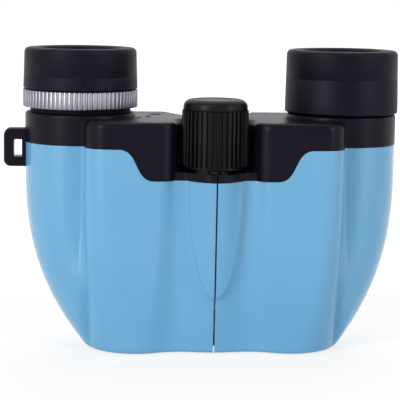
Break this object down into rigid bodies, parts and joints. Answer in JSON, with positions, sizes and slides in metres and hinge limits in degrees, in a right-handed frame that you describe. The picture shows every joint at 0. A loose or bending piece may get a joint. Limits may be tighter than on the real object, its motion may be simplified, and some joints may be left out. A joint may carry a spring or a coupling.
{
  "type": "folding binoculars",
  "caption": "Compact folding binoculars with wide-set eyepieces, rubber eyecups, a ribbed central focus knob, a knurled dioptre ring and a side strap lug.",
  "frame": {"origin": "centre of the footprint box on the plane of the objective ends", "axes": "+Z from the objectives to the eyepieces, +X to the right as seen from the top side, +Y to the underside"},
  "size_m": [0.1078, 0.042, 0.08],
  "materials": {
    "blue_gloss": "moulded, glossy light blue",
    "black_satin": "moulded, satin black",
    "knob_black": "moulded, satin black",
    "eyecup_rubber": "soft black rubber",
    "silver_ring": "knurled, satin silver",
    "coated_glass": "polished, coated",
    "prism_glass": "polished",
    "cell_black": "matt black",
    "steel": "plain",
    "brass": "turned"
  },
  "bodies": {
    "left_half": {"left_shell": "blue_gloss", "left_cover": "black_satin", "left_upper_prism": "prism_glass", "left_lower_prism": "prism_glass", "left_prism_shelf": "cell_black", "left_prism_clips": "steel", "strap_lug": "black_satin", "hinge_tube": "steel", "hinge_nut": "steel", "hinge_cap": "cell_black", "diopter_retainer": "steel"},
    "right_half": {"right_shell": "blue_gloss", "right_cover": "black_satin", "right_upper_prism": "prism_glass", "right_lower_prism": "prism_glass", "right_prism_shelf": "cell_black", "right_prism_clips": "steel", "right_ocular_cell": "cell_black", "right_field_lens": "coated_glass", "right_lens_spacer": "cell_black", "right_eye_lens": "coated_glass", "right_ocular_retainer": "cell_black", "right_eyecup": "eyecup_rubber"},
    "focus_knob": {"focus_knob": "knob_black", "knob_cap": "knob_black", "knob_screw": "steel", "focus_spindle": "brass"},
    "left_focus_carriage": {"left_objective_cell": "cell_black", "left_objective_lens": "coated_glass", "left_objective_retainer": "cell_black", "left_focus_arm": "steel", "focus_slider": "brass", "arm_clip": "steel"},
    "right_focus_carriage": {"right_objective_cell": "cell_black", "right_objective_lens": "coated_glass", "right_objective_retainer": "cell_black", "right_focus_arm": "steel"},
    "diopter_ring": {"diopter_ring": "silver_ring", "left_eyecup": "eyecup_rubber"},
    "diopter_cell": {"left_ocular_cell": "cell_black", "left_field_lens": "coated_glass", "left_lens_spacer": "cell_black", "left_eye_lens": "coated_glass", "left_ocular_retainer": "cell_black"}
  },
  "joints": [
    {"name": "fold", "type": "hinge", "parent": "left_half", "child": "right_half", "pos_m": [0.00263, -0.0101, 0], "axis": [0, 0, 1], "range_deg": [0, 45]},
    {"name": "focus_turn", "type": "hinge", "parent": "left_half", "child": "focus_knob", "pos_m": [0.00263, -0.0101, 0], "axis": [0, 0, 1], "range_deg": [-270, 270]},
    {"name": "left_focus_slide", "type": "slide", "parent": "left_half", "child": "left_focus_carriage", "axis": [0, 0, 1], "range_m": [-0.00151, 0.00151]},
    {"name": "right_focus_slide", "type": "slide", "parent": "right_half", "child": "right_focus_carriage", "axis": [0, 0, 1], "range_m": [-0.00151, 0.00151]},
    {"name": "diopter_turn", "type": "hinge", "parent": "left_half", "child": "diopter_ring", "pos_m": [-0.03318, 0.0054, 0], "axis": [0, 0, 1], "range_deg": [-75, 75]},
    {"name": "diopter_slide", "type": "slide", "parent": "left_half", "child": "diopter_cell", "axis": [0, 0, 1], "range_m": [-0.0008, 0.0008]}
  ],
  "couplings": [
    {"joint": "left_focus_slide", "follows": "focus_turn", "m_per_rad": 0.00031831},
    {"joint": "right_focus_slide", "follows": "focus_turn", "m_per_rad": 0.00031831},
    {"joint": "diopter_slide", "follows": "diopter_turn", "m_per_rad": 0.0006}
  ]
}
